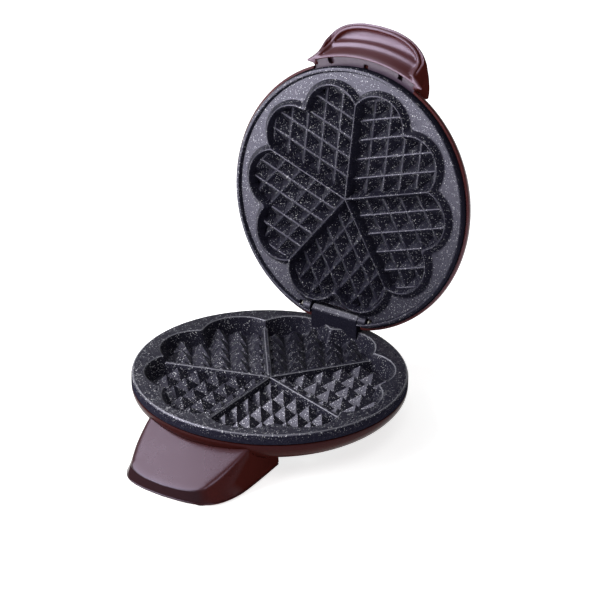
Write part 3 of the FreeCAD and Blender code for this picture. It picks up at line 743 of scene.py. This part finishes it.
def build_lid_shell():
    outer = catmull([(103.0, 9.9), (103.0, 11.2), (102.5, 13.2), (100.9, 16.2), (97.4, 20.0), (92.0, 23.6), (84.0, 27.2),
                     (72.0, 30.6), (55.0, 32.8), (30.0, 33.8), (8.0, 34.0)], 4)
    loop = [(101.2, 9.1), (102.5, 9.1), (102.85, 9.4)] + outer + [(0, 34.0), (0, 32.0), (30.0, 31.85), (55.0, 31.1), (71.3, 28.6), (83.0, 25.3),
            (90.6, 21.9), (95.8, 18.5), (99.0, 15.2), (100.5, 12.8), (101.0, 11.2)]
    clamp = [97.3 if (i < 1 or i > 2 + len(outer)) else 99.3 for i in range(len(loop))]
    v, f = revolve([(r, RIM + z) for r, z in loop], 192, clamp)
    slot = box(-21.6, 21.6, 88.0, 112.0, RIM - 5, RIM + 20.5)
    gap = box(-43.9, 43.9, -112.0, -84.0, RIM + 5, RIM + 13.3)
    lamps = []
    for sx in (-1, 1):
        cv, cf = revolve([(4.1, RIM + 22), (4.1, RIM + 40), (0, RIM + 40), (0, RIM + 22)], 48)
        lamps.append(([(x + 12 * sx, y - 80, z) for x, y, z in cv], cf))
    return finish_mesh("lid_shell_finish", v, f, "lid", "housing", True, ["lid_shell"], 35, [slot, gap] + lamps, look="housing_dome")


# base grip -----------------------------------------------------------------

def top_plane(y):
    z = 33.3 + 0.478 * (y + 92)
    return z


def grip_outline():
    right = [(47.0, -58.0), (47.2, -80.0), (46.9, -96.0), (45.9, -108.0), (44.2, -117.0), (41.2, -125.0), (36.4, -131.4),
             (28.5, -136.0), (16.0, -138.9), (0.0, -140.0)]
    half = catmull(right, 7)
    return half + [(-x, y) for x, y in reversed(half[:-1])]


def inset_rows(outline, rows, lean=0.0):
    """Rings set in from the open outline; rows give (inset, z as a function of the point, optional sideways draft)."""
    n = len(outline)
    normals = []
    for i in range(n):
        a, b = outline[max(i - 1, 0)], outline[min(i + 1, n - 1)]
        dx, dy = b[0] - a[0], b[1] - a[1]
        L = math.hypot(dx, dy)
        normals.append((dy / L, -dx / L))
    out = []
    for inset, zf, *extra in rows:
        draft = extra[0] if extra else 0.0
        ring = []
        for (x, y), (nx, ny) in zip(outline, normals):
            far = max(0.0, min(1.0, (-95.0 - y) / 33.0))
            move = inset + draft * (1.0 + lean * far) * abs(nx)
            px, py = x + nx * move, y + ny * inset
            ring.append((px, py, zf(px, py, y)))
        out.append(ring)
    return out


def loft(rows, cap_last=True, cap_first=True):
    n = len(rows[0])
    verts = [v for r in rows for v in r]
    faces = []
    for k in range(len(rows) - 1):
        for i in range(n - 1):
            faces.append((k * n + i, k * n + i + 1, (k + 1) * n + i + 1, (k + 1) * n + i))
    back = [k * n for k in range(len(rows))]
    rear = [k * n + n - 1 for k in range(len(rows))]
    faces.append(tuple(back + rear[::-1]))
    half = n // 2
    for k, cap in ((0, cap_first), (len(rows) - 1, cap_last)):
        if cap:
            for i in range(half):
                a, b = k * n + i, k * n + i + 1
                c, d = k * n + n - 1 - i, k * n + n - 2 - i
                faces.append((a, b, d, c) if b != d else (a, b, c))
    return verts, faces


def bowl_cutter(grow):
    prof = [(0, 30.0), (103.0 + grow, 30.0), (103.0 + grow, -10.4), (102.4 + grow, -12.8), (101.0 + grow, -15.4), (98.6 + grow, -18.4),
            (94.8 + grow, -21.8), (88.4 + grow, -26.0), (80.0 + grow, -29.8), (70.5, -32.9 - grow), (0, -33.4 - grow)]
    return revolve([(r, RIM + z) for r, z in prof], 120, cap=999)


def build_base_grip():
    line = grip_outline()
    floor = lambda y: 0.9 if y < -104 else 0.9 + (y + 104) / 59 * 4.2
    edge_z = lambda dz: (lambda px, py, y: top_plane(py) - dz)
    crown = lambda px, py, y: top_plane(py) + 0.35 * (1 - (px / 44) ** 2)
    def side_z(t):
        return lambda px, py, y: floor(y) + 2.3 + (top_plane(y) - 5.0 - floor(y) - 2.3) * t

    cover = inset_rows(line, [(5.0, side_z(0.0)), (0.5, side_z(0.0)), (0.15, side_z(0.02)), (0.25, side_z(0.12), 0.25), (0.5, side_z(0.5), 1.2),
                              (0.55, edge_z(2.4), 2.4), (0.65, edge_z(1.4), 2.8), (0.85, edge_z(0.8), 3.2), (1.2, edge_z(0.4), 3.5),
                              (1.8, edge_z(0.18), 3.8), (2.6, edge_z(0.1), 4.1), (5.6, edge_z(0.1), 4.8)], 1.5)
    n = len(line)
    half = n // 2
    verts, faces = loft([list(r) for r in cover], cap_last=False, cap_first=True)
    last = (len(cover) - 1) * n
    cols = 14
    grid = []
    for i in range(half + 1):
        a, b = verts[last + i], verts[last + n - 1 - i]
        row = [last + i]
        for k in range(1, cols):
            t = k / cols
            x, y = a[0] + (b[0] - a[0]) * t, a[1] + (b[1] - a[1]) * t
            row.append(len(verts))
            far = max(0.0, min(1.0, (y + 134.4) / 60.0))
            verts.append((x, y, top_plane(y) - 0.1 + 0.5 * math.sin(math.pi * t) * far * far * (3 - 2 * far)))
        row.append(last + n - 1 - i)
        grid.append(row)
    for r0, r1 in zip(grid, grid[1:]):
        for k in range(cols):
            quad = (r0[k], r0[k + 1], r1[k + 1], r1[k])
            faces.append(quad)
    faces.append(tuple(grid[0]))
    c1 = finish_mesh("base_grip_cover_finish", verts, faces, "base", "housing", False, ["base_grip_cover"], 40, [bowl_cutter(0.3)])
    low = lambda dz: (lambda px, py, y: floor(y) + dz)
    tray = inset_rows(line, [(4.0, low(0.0)), (1.6, low(0.0)), (0.8, low(0.3)), (0.3, low(0.9)), (0.1, low(1.5)),
                             (0.35, low(1.85)), (0.8, low(2.0)), (5.0, low(2.0))])
    verts, faces = loft(tray)
    c2 = finish_mesh("base_grip_tray_finish", verts, faces, "base", "housing", False, ["base_grip_tray"], 40, [bowl_cutter(0.3)])
    return c1, c2


# lid grip ------------------------------------------------------------------

def lid_outline():
    body = catmull([(50.4, -96.6), (47.4, -99.6), (43.6, -102.8), (41.3, -106.2), (40.2, -110.0), (38.9, -113.4), (36.0, -118.4),
                    (31.0, -122.9), (23.8, -126.4), (13.0, -128.9), (0.0, -129.8)], 6)
    right = [(44.0, -86.0), (44.2, -90.0), (44.8, -94.2), (46.5, -94.8), (48.6, -95.0), (50.0, -95.6)] + body
    return right


RIM_Z = [(98.0, 9.6), (104.0, 9.8), (106.0, 12.5), (108.5, 18.0), (111.5, 21.6), (115.0, 22.6), (135.0, 23.2)]
RIM_E = [(0.0, 2.0), (0.35, 0.9), (0.9, 0.2), (1.6, 0.0), (2.3, 0.25), (2.9, 1.0), (3.6, 2.2), (6.0, 4.4), (9.0, 8.0)]
BAND = [(104.0, 15.5), (106.6, 15.5), (106.9, 10.2), (107.4, 9.5), (108.6, 9.4), (109.3, 10.0), (110.2, 12.0), (112.2, 17.6), (113.0, 19.2),
        (114.0, 20.2), (115.2, 20.6), (116.2, 21.2), (116.9, 22.6), (117.6, 24.4), (119.0, 25.8), (122.0, 26.4), (127.0, 25.6), (134.0, 24.0)]


def build_lid_grip():
    right = lid_outline()
    ring = right + [(-x, y) for x, y in reversed(right[:-1])]
    n = len(ring)
    free = ring[2:-2]
    wide = catmull([(48.6, -86.0), (48.0, -93.0), (46.6, -100.0), (44.6, -107.0), (43.0, -111.8), (39.6, -117.4), (34.4, -122.3),
                    (26.4, -126.8), (14.5, -130.0), (0.0, -131.0)], 12)
    half_n = len(right)
    rear_half = []
    acc = [0.0]
    for a, b in zip(wide, wide[1:]):
        acc.append(acc[-1] + math.hypot(b[0] - a[0], b[1] - a[1]))
    fa = [0.0]
    for a, b in zip(right, right[1:]):
        fa.append(fa[-1] + math.hypot(b[0] - a[0], b[1] - a[1]))
    for t in fa:
        want = t / fa[-1] * acc[-1]
        k = min(max(i for i in range(len(acc)) if acc[i] <= want + 1e-9), len(wide) - 2)
        w = (want - acc[k]) / (acc[k + 1] - acc[k])
        rear_half.append((wide[k][0] + (wide[k + 1][0] - wide[k][0]) * w, wide[k][1] + (wide[k + 1][1] - wide[k][1]) * w))
    rear_half[-1] = wide[-1]
    rear = rear_half + [(-x, y) for x, y in reversed(rear_half[:-1])]

    def dist(x, y, line=free):
        best = 1e9
        for (ax, ay), (bx, by) in zip(line, line[1:]):
            dx, dy = bx - ax, by - ay
            t = max(0.0, min(1.0, ((x - ax) * dx + (y - ay) * dy) / (dx * dx + dy * dy)))
            best = min(best, math.hypot(x - ax - dx * t, y - ay - dy * t))
        return best

    def front(x, y):
        r = math.hypot(x, y)
        e = dist(x, y)
        rim = lerp_table(RIM_Z, -y) + lerp_table(RIM_E, e) + (0 if e < 9 else 90)
        return smin(rim, lerp_table(BAND, r), 0.9)

    def back(x, y):
        r = math.hypot(x, y)
        e = dist(x, y, rear)
        z = 31.3 - 0.0009 * x * x - max(0.0, r - 112) * 0.085
        drop = 0.0
        if e < 5.0:
            drop = 4.6 - math.sqrt(max(0.0, 25.0 - (5.0 - e) ** 2)) * 0.92
        return z - drop

    def inward(d, line):
        out = []
        for i in range(n):
            a, b = line[max(i - 1, 0)], line[min(i + 1, n - 1)]
            dx, dy = b[0] - a[0], b[1] - a[1]
            L = math.hypot(dx, dy)
            out.append((line[i][0] + dy / L * d, line[i][1] - dx / L * d))
        return out

    def sheet(line, insets, radii, zf, gap):
        vs, es = [], []
        limit = free if line is ring else rear
        vs.extend(Vector(p) for p in line)
        es.extend((i, (i + 1) % n) for i in range(n))
        def ok(x, y, m):
            return y < -86.2 and abs(x) < 50 and dist(x, y, limit) > m and inside_poly(x, y, line)
        for d in insets:
            pts = inward(d, line)
            vs.extend(Vector(p) for p in pts if ok(p[0], p[1], d - 0.12))
        far = max(insets) if insets else 0.0
        for r in radii:
            k = int(110 / 1.3)
            for i in range(k + 1):
                a = math.radians(-32 + 64 * i / k)
                x, y = r * math.sin(a), -r * math.cos(a)
                if ok(x, y, far + 0.3):
                    vs.append(Vector((x, y)))
        g = gap
        ny = int(46 / g)
        for iy in range(ny):
            for ix in range(-int(50 / g), int(50 / g) + 1):
                x, y = ix * g + 0.11, -86.6 - iy * g
                r = math.hypot(x, y)
                if radii and min(radii) - 0.8 < r < max(radii) + 0.8:
                    continue
                if ok(x, y, far + 0.5):
                    vs.append(Vector((x, y)))
        v2, _, f2, _, _, _ = delaunay_2d_cdt(vs, es, [], 1, 1e-4)
        return [(w.x, w.y, RIM + zf(w.x, w.y)) for w in v2], [tuple(f) for f in f2]

    def inside_poly(x, y, line):
        hit = False
        j = n - 1
        for i in range(n):
            (xi, yi), (xj, yj) = line[i], line[j]
            if (yi > y) != (yj > y) and x < (xj - xi) * (y - yi) / (yj - yi) + xi:
                hit = not hit
            j = i
        return hit

    fv, ff = sheet(ring, [0.35, 0.9, 1.6, 2.3, 2.9, 3.6], [106.3, 106.6, 106.9, 107.4, 108.0, 108.6, 109.3, 110.2, 111.2, 112.2, 113.0, 114.0, 115.2,
                                                     116.2, 116.9, 117.6, 118.3, 119.0, 120.0, 121.2], front, 1.7)
    bv, bf = sheet(rear, [0.15, 0.6, 1.3, 2.2, 3.4, 5.0], [], back, 2.6)
    wall_v, wall_f = [], []
    rows = 6
    for k in range(rows + 1):
        for (x, y), (u, w) in zip(ring, rear):
            z0, z1 = front(x, y), back(u, w)
            t = k / rows
            m = min(1.0, 1.5 * t)
            wall_v.append((x + (u - x) * m, y + (w - y) * m, RIM + z0 + (z1 - z0) * t))
    for k in range(rows):
        for i in range(n):
            j = (i + 1) % n
            wall_f.append((k * n + i, k * n + j, (k + 1) * n + j, (k + 1) * n + i))
    dome = catmull([(103.0, 9.9), (103.0, 11.2), (102.5, 13.2), (100.9, 16.2), (97.4, 20.0), (92.0, 23.6), (84.0, 27.2),
                    (72.0, 30.6), (55.0, 32.8), (30.0, 33.8)], 2)
    dome = [(103.35, 4.0)] + [(r + 0.35, z + 0.2) for r, z in dome] + [(0, 34.4), (0, 4.0)]
    cutter = revolve([(r, RIM + z) for r, z in dome], 160, cap=999)
    return finish_mesh("lid_grip_finish", *join((fv, ff), (bv, bf), (wall_v, wall_f)), "lid", "housing", True, ["lid_grip"], 40, [cutter], weld=1.2e-5, look="housing_lid")


def build_panel():
    def arc(r, t0, t1, n):
        out = []
        for i in range(n + 1):
            t = math.radians(t0 + (t1 - t0) * i / n)
            out.append((r * math.sin(t), -r * math.cos(t)))
        return out

    outer = arc(108.2, 23.8, -23.8, 60) + arc(99.1, -25.9, -1.16, 30) + [(-2.0, -103.4), (2.0, -103.4)] + arc(99.1, 1.16, 25.9, 30)
    hole = [(-30.6 + 3.2 * math.cos(2 * math.pi * i / 36), -100.6 + 3.2 * math.sin(2 * math.pi * i / 36)) for i in range(36)]
    win = [(28.6, -102.9), (32.8, -101.6), (32.1, -97.6), (27.9, -98.8)]
    loops = [outer, hole, win]
    vs, es = [], []
    for lp in loops:
        o = len(vs)
        vs.extend(Vector(p) for p in lp)
        es.extend((o + i, o + (i + 1) % len(lp)) for i in range(len(lp)))
    v2, e2, f2, _, _, _ = delaunay_2d_cdt(vs, es, [], 1, 1e-4)

    def inside(lp, x, y):
        hit = False
        j = len(lp) - 1
        for i in range(len(lp)):
            (xi, yi), (xj, yj) = lp[i], lp[j]
            if (yi > y) != (yj > y) and x < (xj - xi) * (y - yi) / (yj - yi) + xi:
                hit = not hit
            j = i
        return hit

    keep = []
    for f in f2:
        x = sum(v2[i].x for i in f) / len(f)
        y = sum(v2[i].y for i in f) / len(f)
        if inside(outer, x, y) and not inside(hole, x, y) and not inside(win, x, y):
            keep.append(tuple(f))
    verts, faces = [], []
    n = len(v2)
    for z in (11.3, 13.0):
        verts += [(w.x, w.y, RIM + z) for w in v2]
    for f in keep:
        faces.append(f)
        faces.append(tuple(i + n for i in f[::-1]))
    count = {}
    for f in keep:
        for a, b in zip(f, f[1:] + f[:1]):
            key = (min(a, b), max(a, b))
            count.setdefault(key, []).append((a, b))
    for key, uses in count.items():
        if len(uses) == 1:
            a, b = uses[0]
            faces.append((b, a, a + n, b + n))
    return finish_mesh("lid_grip_panel_finish", verts, faces, "lid", "panel", True, ["lid_grip_panel"], 30)


build_lower()
build_upper()
build_ears()
build_base_shell()
build_lid_shell()
build_base_grip()
build_lid_grip()
build_panel()

# pieces carried over from the construction as they are
NODE_SLOT = {
    "bottom_cover": "underside", "base_screws": "steel", "hinge_pin": "element", "hinge_retaining_rings": "element",
    "front_pads": "rubber", "rear_feet": "rubber", "lead_inlet_bush": "rubber", "lower_heating_element": "element",
    "lower_reflector": "reflector", "lower_thermostat": "control", "thermal_fuse": "steel", "terminal_block": "terminal",
    "supply_leads": "lead", "upper_heating_element": "element", "upper_thermostat": "control", "upper_reflector": "reflector",
    "lid_mount_ring": "steel", "upper_plate_screws": "steel", "signal_lenses": "lens", "lamp_board": "board",
}
for name, slot in NODE_SLOT.items():
    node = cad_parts[name]
    node.data.materials.clear()
    node.data.materials.append(MATS[slot])

# ------------------------------------------------------------ camera and light

az, el, roll = math.radians(32.753), math.radians(25.933), math.radians(0.949)
back = Vector((math.sin(az) * math.cos(el), -math.cos(az) * math.cos(el), math.sin(el)))
right = Vector((math.cos(az), math.sin(az), 0.0))
up = back.cross(right)
right, up = right * math.cos(roll) + up * math.sin(roll), up * math.cos(roll) - right * math.sin(roll)
loc = back * 2.49031 + right * 0.022368 + up * 0.051906 + Vector((0, DY * MM, RIM * MM))
cam_data = bpy.data.cameras.new("camera")
cam_data.sensor_width = 36.0
cam_data.sensor_fit = "HORIZONTAL"
cam_data.lens = 3351.3 / 600.0 * 36.0
cam_data.clip_end = 100.0
cam = bpy.data.objects.new("camera", cam_data)
rot = Matrix((right, up, back)).transposed().to_4x4()
cam.matrix_world = Matrix.Translation(loc) @ rot
bpy.context.scene.collection.objects.link(cam)
bpy.context.scene.camera = cam


def floor_piece():
    bm = bmesh.new()
    bmesh.ops.create_circle(bm, cap_ends=True, segments=96, radius=14.0)
    mesh = bpy.data.meshes.new("floor")
    bm.to_mesh(mesh)
    bm.free()
    obj = bpy.data.objects.new("floor", mesh)
    bpy.context.scene.collection.objects.link(obj)
    mat, nt, bsdf, vec = new_mat("floor_pale")
    nt.links.new(ramp(nt, noise(nt, vec, 6, 2), [(0.3, (0.90, 0.90, 0.90)), (0.7, (0.92, 0.92, 0.92))]), bsdf.inputs["Base Color"])
    bsdf.inputs["Roughness"].default_value = 0.9
    bsdf.inputs["Specular IOR Level"].default_value = 0.05
    bsdf.inputs["Emission Color"].default_value = (1.0, 1.0, 1.0, 1.0)
    bsdf.inputs["Emission Strength"].default_value = 0.75
    mesh.materials.append(mat)
    return obj


def area(name, pos, target, size, power, col=(1, 1, 1), size_y=None):
    data = bpy.data.lights.new(name, "AREA")
    data.shape = "RECTANGLE"
    data.size = size
    data.size_y = size_y or size
    data.energy = power
    data.color = col
    obj = bpy.data.objects.new(name, data)
    obj.location = pos
    obj.rotation_euler = (Vector(target) - Vector(pos)).to_track_quat("-Z", "Y").to_euler()
    bpy.context.scene.collection.objects.link(obj)
    return obj


stage = [floor_piece(),
         area("key_softbox", (-0.90, -0.55, 1.05), (0, 0.0, 0.10), 1.1, 20.0),
         area("top_softbox", (-0.55, 0.30, 1.40), (0, 0.0, 0.08), 0.9, 2.4),
         area("front_softbox", (-0.95, -1.40, 0.40), (0, 0.08, 0.12), 1.5, 4.5, size_y=0.8),
         area("floor_wash", (-0.62, -1.0, 0.5), (-0.62, -1.0, 0.0), 0.9, 22.0),
         area("right_fill", (0.75, -0.75, 1.45), (0, 0.0, 0.08), 0.7, 5.0)]

world = bpy.data.worlds.new("studio")
bpy.context.scene.world = world
world.use_nodes = True
bg = world.node_tree.nodes["Background"]
bg.inputs["Color"].default_value = (1.0, 1.0, 1.0, 1.0)
bg.inputs["Strength"].default_value = 0.12
bpy.context.scene.view_settings.view_transform = "Standard"
